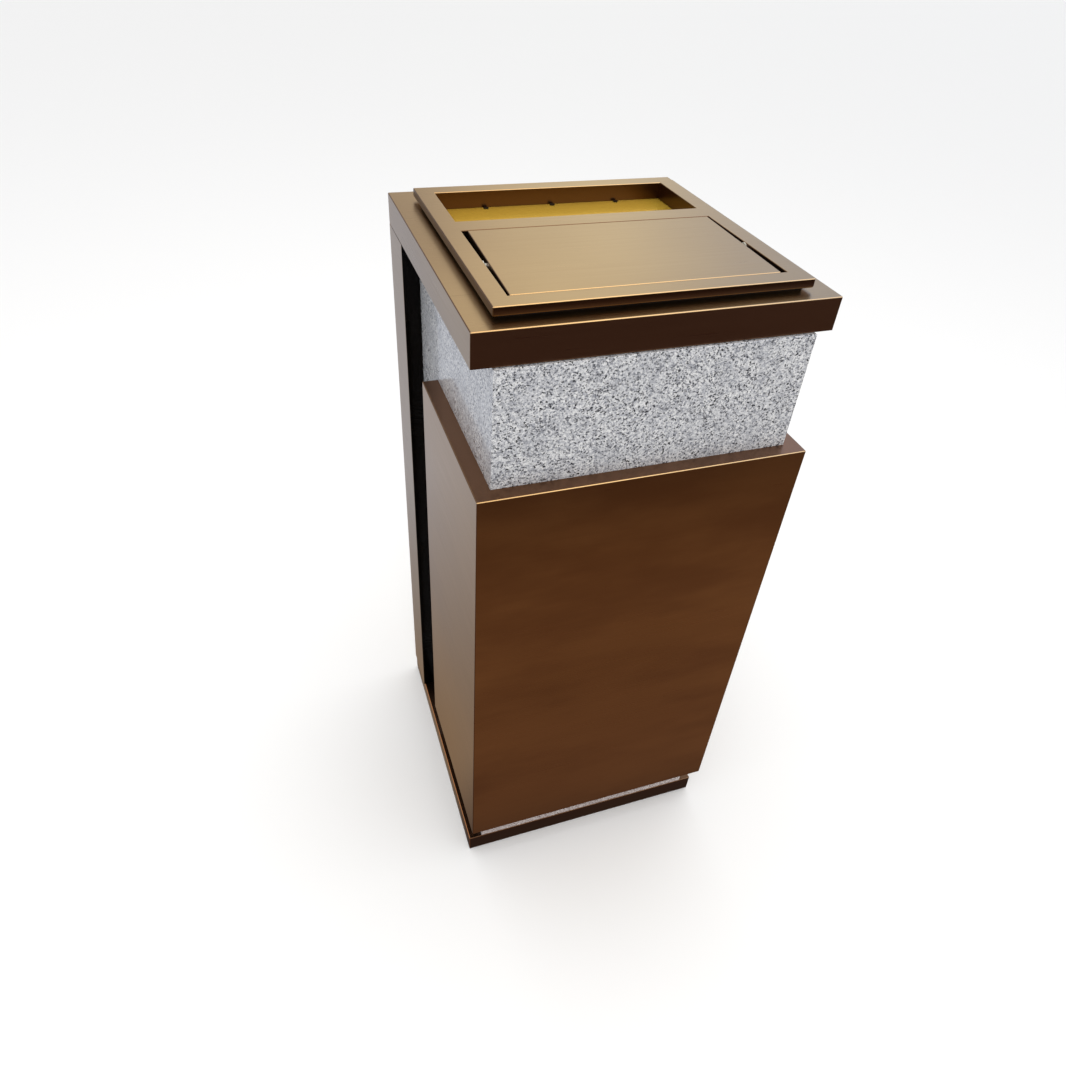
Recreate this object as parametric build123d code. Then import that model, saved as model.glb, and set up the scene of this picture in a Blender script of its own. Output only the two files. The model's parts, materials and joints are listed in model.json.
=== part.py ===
from build123d import *
import math
import os

# Ashtray bin, millimetres. +Z up, front faces -Y, origin on the ground under the
# centre of the bounding box.

# Overall
HALF_W = 200.0            # half width of the cap and the rear column
DEPTH = 422.0             # skirt front to column back
HEIGHT = 925.0            # ground to the top of the lid
BACK = DEPTH / 2
SHEET = 1.2               # visible stainless sheet
THIN = 1.0                # galvanised inner sheet
FIT = 0.05                # clearance on the radius of pins, bolts and rivets in their holes
MARGIN = 5.0              # how far cutting tools run past a face

# Plinth and feet
PLINTH_HALF_W = 198.5
PLINTH_FRONT = -193.5
PLINTH_LOW = 3.0
PLINTH_TOP = 33.5
FOOT_X = 172.0
FOOT_YS = (-167.0, 185.0)
FOOT_R = 20.0
FOOT_H = 8.0              # height of the wide part of a pad
FOOT_NECK_R = 9.0
FOOT_NECK = 14.0          # top of a pad
STUD_R = 4.0
STUD_LOW = 6.0
FOOT_NUT_FLATS = 13.0
WELD_NUT_H = 6.5
LOCK_NUT_H = 5.0

# Rear column
COLUMN_FRONT = 135.0
BODY_TOP = 873.5          # underside of the cap
COLUMN_LIP = 20.0
COLUMN_SHELF = 15.0       # top lip that the cap is screwed to, from the column's front
COLUMN_GAP = 1.0          # shadow gap between the cap and the column's sides and back
REAR_SCREW_X = 188.0
REAR_SCREW_ZS = (90.0, 330.0, 580.0, 820.0)
REAR_SCREW_R = 2.0
REAR_SCREW_HEAD_R = 4.0
REAR_SCREW_LENGTH = 12.0
SOCKET_R = 1.4            # hexagon socket, across its corners
SOCKET_DEPTH = 0.9
REAR_NUT_H = 4.0
SMALL_NUT_FLATS = 8.0

# Granite cladding
STONE_HALF_W = 178.5
STONE_FRONT = -192.5
STONE = 12.0
STONE_TOP = BODY_TOP - THIN
STONE_ARRIS = 0.8
GLUE = 5.0
GLUE_R = 25.0
GLUE_XS = (-85.0, 85.0)
GLUE_YS = (-100.0, 60.0)
GLUE_ZS = (120.0, 400.0, 700.0)

# Inner casing
CASE_HALF_W = STONE_HALF_W - STONE - GLUE
CASE_FRONT = STONE_FRONT + STONE + GLUE
CASE_LIP = 15.0
RIVET_R = 2.0
CASE_RIVET_X = 152.0
CASE_RIVET_ZS = (100.0, 280.0, 460.0, 640.0, 820.0)
CASE_BOLT_X = 153.0
CASE_BOLT_YS = (-130.0, 95.0)
BOLT_R = 3.0
BOLT_HEAD_R = 5.0
BOLT_HEAD_H = 3.5
BOLT_NUT_FLATS = 10.0
BOLT_NUT_H = 5.0
BOLT_REACH = 11.0         # how far a bolt runs past the face that its nut sits towards

# Skirt
SKIRT_HALF_W = 198.5
SKIRT_FRONT = -BACK
SKIRT_REAR = 46.0
SKIRT_LOW = 78.0
SKIRT_TOP = 733.0
SKIRT_BEND = 1.3
RAIL_ZS = (200.0, 610.0)
RAIL_H = 25.0
RAIL_T = 4.0
BOLT_PLAY = 0.5           # clearance on the radius of a bolt in stone
SKIRT_BOLT_XS = (-100.0, 100.0)
SKIRT_BOLT_YS = (-120.0, -10.0)
SKIRT_SIDE_T = SKIRT_HALF_W - STONE_HALF_W
SKIRT_FRONT_T = STONE_FRONT - SKIRT_FRONT
MITRE = math.hypot(SKIRT_SIDE_T, SKIRT_FRONT_T)

# Cap
CAP_FRONT = -189.0
CAP_TOP = 911.0
CAP_BEND = 1.3
MOUTH_HALF_W = 160.0
MOUTH_FRONT = -157.0
MOUTH_REAR = 165.0
CAP_SCREW_XS = (-110.0, 0.0, 110.0)
CAP_SCREW_YS = (-166.0, COLUMN_FRONT + 8)
CAP_SCREW_R = 2.5
CAP_SCREW_HEAD_R = 4.5
CAP_SCREW_HEAD_H = 3.0
CAP_SCREW_LENGTH = 10.0
CAP_NUT_H = 4.0
UNDER_REAR = COLUMN_FRONT - THIN

# Lid
LID_HALF_W = 174.0
LID_FRONT = -171.0
LID_REAR = 178.5
LID_LOW = 914.5
LID_RETURN = 12.0
LID_BEND = 1.2
LID_LOW_BEND = 2.5
COLLAR_LOW = 893.0
COLLAR_GAP = 2.5          # collar to the cap's mouth
COLLAR_HALF_W = MOUTH_HALF_W - COLLAR_GAP
COLLAR_YS = (MOUTH_FRONT + 2, MOUTH_REAR - 2)
SEAL_OUT = 6.0            # how far the seal reaches out past the cap's mouth
HOLE_BEND = 0.9           # rounded upper edge of the holes in the lid

# Ash tray: its walls are lips of the lid, its floor a separate plate
ASH_HALF_W = 152.0
ASH_FRONT = 53.6
ASH_REAR = 156.2
ASH_FLOOR = 904.8         # upper face of the floor plate
ASH_FLOOR_GAP = 0.4       # floor plate to the walls
ASH_SEAT = 9.0            # width of the flange that the plate lies on
ASH_RIVET_XS = (-88.0, 0.0, 88.0)
ASH_RIVET_IN = 4.2        # rivets to the front and rear walls
ASH_RIVET_R = 1.6

# Swing flap
FLAP_HALF_W = 148.5
FLAP_HALF_L = 85.8
FLAP_SLOT = 4.5           # mean gap at the flap's ends
FLAP_SKEW = 2.4           # the ends are out of square: to the right at the rear corners
FLAP_GAP = 1.0            # front and rear gap
FLAP_LOW = 915.5
FLAP_BEND = 1.0
PIVOT_Y = -62.4
PIVOT_Z = 919.0
PIVOT_R = 3.0
FLAP_HOLE_HALF_W = FLAP_HALF_W + FLAP_SLOT
FLAP_HOLE_YS = (PIVOT_Y - FLAP_HALF_L - FLAP_GAP, PIVOT_Y + FLAP_HALF_L + FLAP_GAP)
PIN_OUT = 2.8             # how far a pin runs into its bush, from the hole's edge
PIN_HEAD_T = 2.0
PIN_HEAD_R = 4.0
BUSH_R = 4.2
BUSH_LENGTH = 2.5
BUSH_FLANGE_T = 0.8
BUSH_FLANGE_R = 5.5
SIDE_LIP_LOW = 905.0
ARM_X = 143.0
ARM_T = 2.0
ARM_HALF = 14.0
ARM_LOW = 880.0
ARM_FLANGE = 12.0
SPACER_R = 4.5
WEIGHT_HALF_L = 152.2
WEIGHT_HALF_W = 8.0
WEIGHT_LOW = 885.0
WEIGHT_TOP = 897.0
STOP_R = 2.5
STOP_HEAD_R = 3.5
STOP_LENGTH = 3.4
STOP_DY = 28.5
STOP_Z = 909.4

# Inner bucket
BUCKET_HALF_W = 148.0
BUCKET_FRONT = -150.0
BUCKET_REAR = 124.0
BUCKET_LOW = 36.5
BUCKET_TOP = 835.0
BUCKET_T = 0.8
BUCKET_BEND = 2.5
RIM_OUT = 3.0
RIM_H = 8.0
BUCKET_FOOT_X = 120.0
BUCKET_FOOT_YS = (-125.0, 100.0)
BUCKET_FOOT_R = 12.0
HANDLE_X = 142.0
HANDLE_Z = 790.0
HANDLE_DROP = 52.0
HANDLE_HALF = 58.0
HANDLE_STUB = 18.0
WIRE_R = 3.0
WIRE_BEND = 7.0
EYE_YS = (66.0, 74.0)
EYE_HALF = 4.5            # half height of an eye, and its reach past the wire
BRACKET_HALF_H = 15.0
BRACKET_SIDE = 4.0        # how far a bracket's base runs past its eye
BRACKET_RIVET_DZ = 9.0
HANDLE_WALL = BUCKET_HALF_W - BUCKET_T


def block(xs, ys, zs):
    """A box from its three pairs of limits."""
    size = (xs[1] - xs[0], ys[1] - ys[0], zs[1] - zs[0])
    centre = ((xs[0] + xs[1]) / 2, (ys[0] + ys[1]) / 2, (zs[0] + zs[1]) / 2)
    return Pos(*centre) * Box(*size)


def ring(half_w, ys, zs, wall):
    """A rectangular frame, wall thick outside the given opening."""
    outer = block((-half_w - wall, half_w + wall), (ys[0] - wall, ys[1] + wall), zs)
    inner = block((-half_w, half_w), ys, (zs[0] - MARGIN, zs[1] + MARGIN))
    return outer - inner


def rod(axis, start, end, radius, u, v):
    """A cylinder along X, Y or Z from start to end; u and v are its other two places."""
    length = end - start
    middle = (start + end) / 2
    if axis == "x":
        return Pos(middle, u, v) * Rot(0, 90, 0) * Cylinder(radius, length)
    if axis == "y":
        return Pos(u, middle, v) * Rot(90, 0, 0) * Cylinder(radius, length)
    return Pos(u, v, middle) * Cylinder(radius, length)


def hex_nut(axis, start, end, flats, hole, u, v):
    """A hexagon nut along X, Y or Z."""
    nut = extrude(RegularPolygon(flats / math.sqrt(3), 6), end - start)
    nut -= Cylinder(hole, 2 * (end - start) + MARGIN)
    if axis == "x":
        return Pos(start, u, v) * Rot(0, 90, 0) * nut
    if axis == "y":
        return Pos(u, end, v) * Rot(90, 0, 0) * nut
    return Pos(u, v, start) * nut


def prism(points, zs):
    """An upright prism on a plan outline."""
    face = make_face(Polyline(*points, close=True))
    return Pos(0, 0, zs[0]) * extrude(face, zs[1] - zs[0])


def soften(part, radius, axis):
    """Rounds the edges of a box that run along one axis."""
    return fillet(part.edges().filter_by(axis), radius)


def rounded(part, bend, low_bend=0):
    """A prism with rounded upright, top and, where low_bend isn't 0, bottom edges."""
    part = soften(part, bend, Axis.Z)
    part = fillet(part.faces().sort_by(Axis.Z)[-1].edges(), bend * 0.98)
    if low_bend:
        part = fillet(part.faces().sort_by(Axis.Z)[0].edges(), low_bend)
    return part


def mirrored(solids):
    """The solids and their mirror images across the centre plane."""
    return solids + [mirror(solid, Plane.YZ) for solid in solids]


# ---------------------------------------------------------------- plinth and feet

def plinth():
    """The folded tray that everything stands on, open underneath."""
    ys = (PLINTH_FRONT, BACK)
    part = rounded(block((-PLINTH_HALF_W, PLINTH_HALF_W), ys, (PLINTH_LOW, PLINTH_TOP)), CAP_BEND)
    half = PLINTH_HALF_W - SHEET
    part -= block(
        (-half, half),
        (ys[0] + SHEET, ys[1] - SHEET),
        (PLINTH_LOW - MARGIN, PLINTH_TOP - SHEET),
    )
    for x, y in foot_places():
        part -= rod("z", PLINTH_LOW, PLINTH_TOP + MARGIN, STUD_R + FIT, x, y)
    for x, y in casing_bolt_places():
        part -= rod("z", PLINTH_LOW, PLINTH_TOP + MARGIN, BOLT_R + FIT, x, y)
    return part


def foot_places():
    return [(side * FOOT_X, y) for side in (-1, 1) for y in FOOT_YS]


def foot_pads():
    """Rubber levelling pads, wide at the ground and narrow at the stud."""
    pads = []
    for x, y in foot_places():
        base = rod("z", 0, FOOT_H, FOOT_R, x, y)
        neck = Cone(FOOT_R - 4, FOOT_NECK_R, FOOT_NECK - FOOT_H)
        neck = Pos(x, y, (FOOT_H + FOOT_NECK) / 2) * neck
        pad = base + neck - rod("z", STUD_LOW, FOOT_NECK + MARGIN, STUD_R + FIT, x, y)
        pads.append(pad)
    return pads


def foot_studs():
    return [rod("z", STUD_LOW, PLINTH_TOP - FIT, STUD_R, x, y) for x, y in foot_places()]


def foot_nuts():
    """A nut welded under the plinth's top and a lock nut above the pad, on each stud."""
    nuts = []
    weld_high = PLINTH_TOP - SHEET
    hole = STUD_R + FIT
    for x, y in foot_places():
        nuts.append(hex_nut("z", weld_high - WELD_NUT_H, weld_high, FOOT_NUT_FLATS, hole, x, y))
        nuts.append(hex_nut("z", FOOT_NECK, FOOT_NECK + LOCK_NUT_H, FOOT_NUT_FLATS, hole, x, y))
    return nuts


# ---------------------------------------------------------------- rear column

def column_shell():
    """The hollow column behind the bin: front wall, sides and lips for the rear panel and cap."""
    zs = (PLINTH_TOP, BODY_TOP)
    rear = BACK - SHEET
    part = block((-HALF_W, HALF_W), (COLUMN_FRONT, rear), zs)
    front_edges = part.edges().filter_by(Axis.Z).sort_by(Axis.Y)[:2]
    part = fillet(front_edges, CAP_BEND)
    inner = HALF_W - SHEET
    part -= block(
        (-inner, inner),
        (COLUMN_FRONT + SHEET, rear - SHEET),
        (zs[0] - MARGIN, zs[1] + MARGIN),
    )
    gap = inner - COLUMN_LIP
    part -= block((-gap, gap), (rear - 2 * SHEET, rear + MARGIN), (zs[0] - MARGIN, zs[1] + MARGIN))
    shadow_zs = (zs[1] - COLUMN_GAP, zs[1] + MARGIN)
    shelf = COLUMN_FRONT + COLUMN_SHELF
    part -= block((-HALF_W, HALF_W), (shelf, BACK), shadow_zs)
    part -= block((inner, HALF_W), (COLUMN_FRONT, BACK), shadow_zs)
    part -= block((-HALF_W, -inner), (COLUMN_FRONT, BACK), shadow_zs)
    part += block((-inner, inner), (COLUMN_FRONT + SHEET, shelf), (zs[1] - SHEET, zs[1]))
    for x, z in rear_screw_places():
        part -= rod("y", rear - 2 * SHEET, rear + MARGIN, REAR_SCREW_R + FIT, x, z)
    for x in CAP_SCREW_XS:
        part -= rod("z", zs[1] - MARGIN, zs[1] + MARGIN, CAP_SCREW_R + FIT, x, CAP_SCREW_YS[1])
    for x, z in casing_rivet_places():
        part -= rod("y", COLUMN_FRONT - MARGIN, COLUMN_FRONT + MARGIN, RIVET_R + FIT, x, z)
    return part


def rear_screw_places():
    return [(side * REAR_SCREW_X, z) for side in (-1, 1) for z in REAR_SCREW_ZS]


def rear_panel():
    """Flat back of the column, with countersunk holes."""
    part = block((-HALF_W, HALF_W), (BACK - SHEET, BACK), (PLINTH_TOP, BODY_TOP - COLUMN_GAP))
    for x, z in rear_screw_places():
        part -= rear_screw(x, z, FIT)
    return part


def rear_screw(x, z, extra):
    """A countersunk screw, its head flush with the back."""
    head = Cone(REAR_SCREW_R + extra, REAR_SCREW_HEAD_R + extra, SHEET)
    head = Pos(x, BACK - SHEET / 2, z) * Rot(-90, 0, 0) * head
    return head + rod("y", BACK - REAR_SCREW_LENGTH, BACK - SHEET, REAR_SCREW_R + extra, x, z)


def rear_screws():
    """Countersunk screws with hexagon sockets."""
    socket = Rot(90, 0, 0) * extrude(RegularPolygon(SOCKET_R, 6), SOCKET_DEPTH)
    return [rear_screw(x, z, 0) - Pos(x, BACK, z) * socket for x, z in rear_screw_places()]


def rear_nuts():
    """Clinch nuts inside the column's lips."""
    front = BACK - 2 * SHEET
    hole = REAR_SCREW_R + FIT
    return [
        hex_nut("y", front - REAR_NUT_H, front, SMALL_NUT_FLATS, hole, x, z)
        for x, z in rear_screw_places()
    ]


# ---------------------------------------------------------------- inner casing

def casing_rivet_places():
    return [(side * CASE_RIVET_X, z) for side in (-1, 1) for z in CASE_RIVET_ZS]


def casing_bolt_places():
    return [(side * CASE_BOLT_X, y) for side in (-1, 1) for y in CASE_BOLT_YS]


def casing_front():
    """Front wall of the casing, with a lip turned in under the cap."""
    inner = CASE_FRONT + THIN
    part = block((-CASE_HALF_W, CASE_HALF_W), (CASE_FRONT, inner), (PLINTH_TOP, BODY_TOP))
    lip_x = CASE_HALF_W - THIN
    part += block((-lip_x, lip_x), (inner, MOUTH_FRONT - SHEET), (BODY_TOP - THIN, BODY_TOP))
    for x, z in casing_rivet_places():
        part -= rod("y", CASE_FRONT - MARGIN, inner + MARGIN, RIVET_R + FIT, x, z)
    for x in SKIRT_BOLT_XS:
        for z in RAIL_ZS:
            part -= rod("y", CASE_FRONT - MARGIN, inner + MARGIN, BOLT_R + FIT, x, z)
    for x in CAP_SCREW_XS:
        part -= rod("z", BODY_TOP - MARGIN, BODY_TOP + MARGIN, CAP_SCREW_R + FIT, x, CAP_SCREW_YS[0])
    return part


def casing_back():
    """Rear wall of the casing, riveted to the column."""
    part = block(
        (-CASE_HALF_W, CASE_HALF_W), (COLUMN_FRONT - THIN, COLUMN_FRONT), (PLINTH_TOP, BODY_TOP)
    )
    for x, z in casing_rivet_places():
        part -= rod("y", COLUMN_FRONT - MARGIN, COLUMN_FRONT + MARGIN, RIVET_R + FIT, x, z)
    return part


def casing_side():
    """Right wall, folded at the front and rear, out over the stone and in at the floor."""
    inner = CASE_HALF_W - THIN
    front = CASE_FRONT + THIN
    rear = COLUMN_FRONT - THIN
    lip_x = (inner - CASE_LIP, inner)
    lip_zs = (PLINTH_TOP + 6, BODY_TOP - CASE_LIP)
    part = block((inner, CASE_HALF_W), (front, rear), (PLINTH_TOP, BODY_TOP))
    part += block(lip_x, (front, front + THIN), lip_zs)
    part += block(lip_x, (rear - THIN, rear), lip_zs)
    part += block(lip_x, (front + CASE_LIP, rear - CASE_LIP), (PLINTH_TOP, PLINTH_TOP + THIN))
    part += block(
        (CASE_HALF_W, CASE_HALF_W + CASE_LIP), (front, rear - 2), (BODY_TOP - THIN, BODY_TOP)
    )
    for x, z in casing_rivet_places():
        part -= rod("y", front - MARGIN, rear + MARGIN, RIVET_R + FIT, x, z)
    for x, y in casing_bolt_places():
        part -= rod("z", PLINTH_TOP - MARGIN, PLINTH_TOP + MARGIN, BOLT_R + FIT, x, y)
    for y in SKIRT_BOLT_YS:
        for z in RAIL_ZS:
            part -= rod("x", inner - MARGIN, CASE_HALF_W + MARGIN, BOLT_R + FIT, y, z)
    return part


def rivet(axis, head_at, grip, direction, radius, u, v):
    """A blind rivet: a flat head at head_at, its shank across the grip, and a set tail."""
    head = radius * 2
    far = head_at + direction * grip
    spans = [
        (head_at - direction * 1.2, head_at, head),
        (head_at, far, radius),
        (far, far + direction * 1.8, radius * 1.4),
    ]
    parts = [rod(axis, min(a, b), max(a, b), r, u, v) for a, b, r in spans]
    return parts[0] + parts[1] + parts[2]


def casing_rivets():
    """Blind rivets down the four corners of the casing."""
    front_face = CASE_FRONT + 2 * THIN
    rear_face = COLUMN_FRONT - 2 * THIN
    rivets = []
    for x, z in casing_rivet_places():
        rivets.append(rivet("y", front_face, 2 * THIN, -1, RIVET_R, x, z))
        rivets.append(rivet("y", rear_face, 2 * THIN + SHEET, 1, RIVET_R, x, z))
    return rivets


def casing_bolts():
    """Button-headed bolts through the casing's floor lips and the plinth."""
    top = PLINTH_TOP + THIN
    low = PLINTH_TOP - BOLT_REACH
    return [
        rod("z", top, top + BOLT_HEAD_H, BOLT_HEAD_R, x, y) + rod("z", low, top, BOLT_R, x, y)
        for x, y in casing_bolt_places()
    ]


def casing_nuts():
    top = PLINTH_TOP - SHEET
    return [
        hex_nut("z", top - BOLT_NUT_H, top, BOLT_NUT_FLATS, BOLT_R + FIT, x, y)
        for x, y in casing_bolt_places()
    ]


# ---------------------------------------------------------------- granite cladding

def granite_front():
    """Front slab, mitred at both ends."""
    rear = STONE_FRONT + STONE
    short = STONE_HALF_W - STONE
    outline = [
        (-STONE_HALF_W, STONE_FRONT),
        (STONE_HALF_W, STONE_FRONT),
        (short, rear),
        (-short, rear),
    ]
    part = prism(outline, (PLINTH_TOP, STONE_TOP))
    part = chamfer(part.edges().filter_by(Axis.X).group_by(Axis.Z)[-1].sort_by(Axis.Y)[0], STONE_ARRIS)
    for x in SKIRT_BOLT_XS:
        for z in RAIL_ZS:
            part -= rod("y", STONE_FRONT - MARGIN, rear + MARGIN, BOLT_R + BOLT_PLAY, x, z)
    return part


def granite_side():
    """Right slab, mitred into the front slab and square against the column."""
    inner = STONE_HALF_W - STONE
    outline = [
        (inner, STONE_FRONT + STONE),
        (STONE_HALF_W, STONE_FRONT),
        (STONE_HALF_W, COLUMN_FRONT),
        (inner, COLUMN_FRONT),
    ]
    part = prism(outline, (PLINTH_TOP, STONE_TOP))
    for y in SKIRT_BOLT_YS:
        for z in RAIL_ZS:
            part -= rod("x", inner - MARGIN, STONE_HALF_W + MARGIN, BOLT_R + BOLT_PLAY, y, z)
    return part


def stone_adhesive():
    """Round dabs of mastic between the casing and the slabs."""
    dabs = []
    for z in GLUE_ZS:
        for x in GLUE_XS:
            dabs.append(rod("y", STONE_FRONT + STONE, CASE_FRONT, GLUE_R, x, z))
        for y in GLUE_YS:
            dabs.append(rod("x", CASE_HALF_W, STONE_HALF_W - STONE, GLUE_R, y, z))
            dabs.append(rod("x", STONE - STONE_HALF_W, -CASE_HALF_W, GLUE_R, y, z))
    return dabs


# ---------------------------------------------------------------- skirt

def skirt_envelope():
    """The outer shape that the three skirt trays are cut from, with its bends."""
    part = block((-SKIRT_HALF_W, SKIRT_HALF_W), (SKIRT_FRONT, SKIRT_REAR), (SKIRT_LOW, SKIRT_TOP))
    return rounded(part, SKIRT_BEND, SKIRT_BEND)


def skirt_front():
    """Front tray, closed at its rims and open towards the stone."""
    skin = SKIRT_FRONT + SHEET
    outline = [
        (-SKIRT_HALF_W, SKIRT_FRONT),
        (SKIRT_HALF_W, SKIRT_FRONT),
        (STONE_HALF_W, STONE_FRONT),
        (-STONE_HALF_W, STONE_FRONT),
    ]
    wide_rear = STONE_HALF_W - SHEET * MITRE / SKIRT_FRONT_T
    wide_front = wide_rear + (STONE_FRONT - skin) * SKIRT_SIDE_T / SKIRT_FRONT_T
    hollow = [
        (-wide_front, skin),
        (wide_front, skin),
        (wide_rear, STONE_FRONT),
        (-wide_rear, STONE_FRONT),
    ]
    part = skirt_envelope() & prism(outline, (SKIRT_LOW, SKIRT_TOP))
    return part - prism(hollow, (SKIRT_LOW + SHEET, SKIRT_TOP - SHEET))


def skirt_side():
    """Right tray."""
    skin = SKIRT_HALF_W - SHEET
    outline = [
        (STONE_HALF_W, STONE_FRONT),
        (SKIRT_HALF_W, SKIRT_FRONT),
        (SKIRT_HALF_W, SKIRT_REAR),
        (STONE_HALF_W, SKIRT_REAR),
    ]
    near = STONE_FRONT + SHEET * MITRE / SKIRT_SIDE_T
    far = near - (skin - STONE_HALF_W) * SKIRT_FRONT_T / SKIRT_SIDE_T
    hollow = [
        (STONE_HALF_W, near),
        (skin, far),
        (skin, SKIRT_REAR - SHEET),
        (STONE_HALF_W, SKIRT_REAR - SHEET),
    ]
    part = skirt_envelope() & prism(outline, (SKIRT_LOW, SKIRT_TOP))
    return part - prism(hollow, (SKIRT_LOW + SHEET, SKIRT_TOP - SHEET))


def skirt_rails():
    """Flat bars across the open backs of the trays, two to each tray."""
    rails = []
    half = STONE_HALF_W - SHEET * MITRE / SKIRT_FRONT_T
    for z in RAIL_ZS:
        zs = (z - RAIL_H / 2, z + RAIL_H / 2)
        front = block((-half, half), (STONE_FRONT - RAIL_T, STONE_FRONT), zs)
        for x in SKIRT_BOLT_XS:
            front -= rod("y", STONE_FRONT - 2 * RAIL_T, STONE_FRONT + MARGIN, BOLT_R + FIT, x, z)
        side = block(
            (STONE_HALF_W, STONE_HALF_W + RAIL_T), (STONE_FRONT + 3, SKIRT_REAR - SHEET), zs
        )
        for y in SKIRT_BOLT_YS:
            side -= rod("x", STONE_HALF_W - MARGIN, STONE_HALF_W + 2 * RAIL_T, BOLT_R + FIT, y, z)
        rails.append(front)
        rails.extend(mirrored([side]))
    return rails


def skirt_bolts():
    """Bolts from inside the casing, through the stone, into the rails."""
    bolts = []
    face_y = CASE_FRONT + THIN
    face_x = CASE_HALF_W - THIN
    for z in RAIL_ZS:
        for x in SKIRT_BOLT_XS:
            shank = rod("y", STONE_FRONT - BOLT_REACH, face_y, BOLT_R, x, z)
            bolts.append(shank + rod("y", face_y, face_y + BOLT_HEAD_H, BOLT_HEAD_R, x, z))
        for y in SKIRT_BOLT_YS:
            shank = rod("x", face_x, STONE_HALF_W + BOLT_REACH, BOLT_R, y, z)
            head = rod("x", face_x - BOLT_HEAD_H, face_x, BOLT_HEAD_R, y, z)
            bolts.extend(mirrored([shank + head]))
    return bolts


def skirt_nuts():
    """Nuts on the skirt's bolts, inside its trays."""
    nuts = []
    hole = BOLT_R + FIT
    near_y = STONE_FRONT - RAIL_T
    near_x = STONE_HALF_W + RAIL_T
    for z in RAIL_ZS:
        for x in SKIRT_BOLT_XS:
            nuts.append(hex_nut("y", near_y - BOLT_NUT_H, near_y, BOLT_NUT_FLATS, hole, x, z))
        for y in SKIRT_BOLT_YS:
            side = hex_nut("x", near_x, near_x + BOLT_NUT_H, BOLT_NUT_FLATS, hole, y, z)
            nuts.extend(mirrored([side]))
    return nuts


# ---------------------------------------------------------------- cap

def cap_shell():
    """Folded and mitre-welded cap with a rectangular mouth."""
    ys = (CAP_FRONT, BACK)
    part = rounded(block((-HALF_W, HALF_W), ys, (BODY_TOP, CAP_TOP)), CAP_BEND)
    half = HALF_W - SHEET
    hollow = block(
        (-half, half), (ys[0] + SHEET, ys[1] - SHEET), (BODY_TOP - MARGIN, CAP_TOP - SHEET)
    )
    mouth_ys = (MOUTH_FRONT, MOUTH_REAR)
    hollow -= ring(MOUTH_HALF_W, mouth_ys, (BODY_TOP + SHEET, CAP_TOP), SHEET)
    part -= hollow
    mouth = block((-MOUTH_HALF_W, MOUTH_HALF_W), mouth_ys, (BODY_TOP - MARGIN, CAP_TOP + MARGIN))
    return part - mouth


def cap_underplate():
    """Flat ring that closes the cap below and bears on the casing, stone and column."""
    half = HALF_W - SHEET
    zs = (BODY_TOP, BODY_TOP + SHEET)
    part = block((-half, half), (CAP_FRONT + SHEET, BACK - SHEET), zs)
    part -= block(
        (-MOUTH_HALF_W, MOUTH_HALF_W),
        (MOUTH_FRONT, UNDER_REAR),
        (zs[0] - MARGIN, zs[1] + MARGIN),
    )
    for x in CAP_SCREW_XS:
        for y in CAP_SCREW_YS:
            part -= rod("z", zs[0] - MARGIN, zs[1] + MARGIN, CAP_SCREW_R + FIT, x, y)
    return part


def cap_screws():
    """Screws up through the casing lip and the column lip into the underplate."""
    screws = []
    for x in CAP_SCREW_XS:
        for y, face in zip(CAP_SCREW_YS, (BODY_TOP - THIN, BODY_TOP - SHEET)):
            head = rod("z", face - CAP_SCREW_HEAD_H, face, CAP_SCREW_HEAD_R, x, y)
            screws.append(head + rod("z", face, face + CAP_SCREW_LENGTH, CAP_SCREW_R, x, y))
    return screws


def cap_nuts():
    low = BODY_TOP + SHEET
    return [
        hex_nut("z", low, low + CAP_NUT_H, SMALL_NUT_FLATS, CAP_SCREW_R + FIT, x, y)
        for x in CAP_SCREW_XS
        for y in CAP_SCREW_YS
    ]


# ---------------------------------------------------------------- lid

def stop_places():
    return [(PIVOT_Y - STOP_DY, STOP_Z), (PIVOT_Y + STOP_DY, STOP_Z)]


def lid_plate():
    """Lift-off lid: top, rolled rim, lips round the flap's hole and walls of the ash tray."""
    ys = (LID_FRONT, LID_REAR)
    part = block((-LID_HALF_W, LID_HALF_W), ys, (LID_LOW, HEIGHT))
    part = rounded(part, LID_BEND, LID_LOW_BEND)
    half = LID_HALF_W - SHEET
    part -= block((-half, half), (ys[0] + SHEET, ys[1] - SHEET), (LID_LOW + SHEET, HEIGHT - SHEET))
    inner = LID_HALF_W - LID_RETURN
    part -= block(
        (-inner, inner),
        (ys[0] + LID_RETURN, ys[1] - LID_RETURN),
        (LID_LOW - MARGIN, LID_LOW + 2 * SHEET),
    )
    top = HEIGHT - SHEET / 2
    part += ring(FLAP_HOLE_HALF_W, FLAP_HOLE_YS, (SIDE_LIP_LOW, top), SHEET)
    seat_zs = (ASH_FLOOR - THIN - SHEET, ASH_FLOOR - THIN)
    part += ring(ASH_HALF_W, (ASH_FRONT, ASH_REAR), (seat_zs[0], top), SHEET)
    through = (LID_LOW, HEIGHT + MARGIN)
    part -= block((-FLAP_HOLE_HALF_W, FLAP_HOLE_HALF_W), FLAP_HOLE_YS, through)
    part -= block((-ASH_HALF_W, ASH_HALF_W), (ASH_FRONT, ASH_REAR), through)
    part = fillet(hole_edges(part), HOLE_BEND)
    seat_ys = (ASH_FRONT + ASH_SEAT, ASH_REAR - ASH_SEAT)
    part += ring(ASH_HALF_W - ASH_SEAT, seat_ys, seat_zs, ASH_SEAT)
    reach = FLAP_HOLE_HALF_W + MARGIN
    part -= rod("x", -reach, reach, BUSH_R + FIT, PIVOT_Y, PIVOT_Z)
    for y, z in stop_places():
        part -= rod("x", -reach, reach, STOP_R + FIT, y, z)
    return ash_rivet_holes(part)


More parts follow.
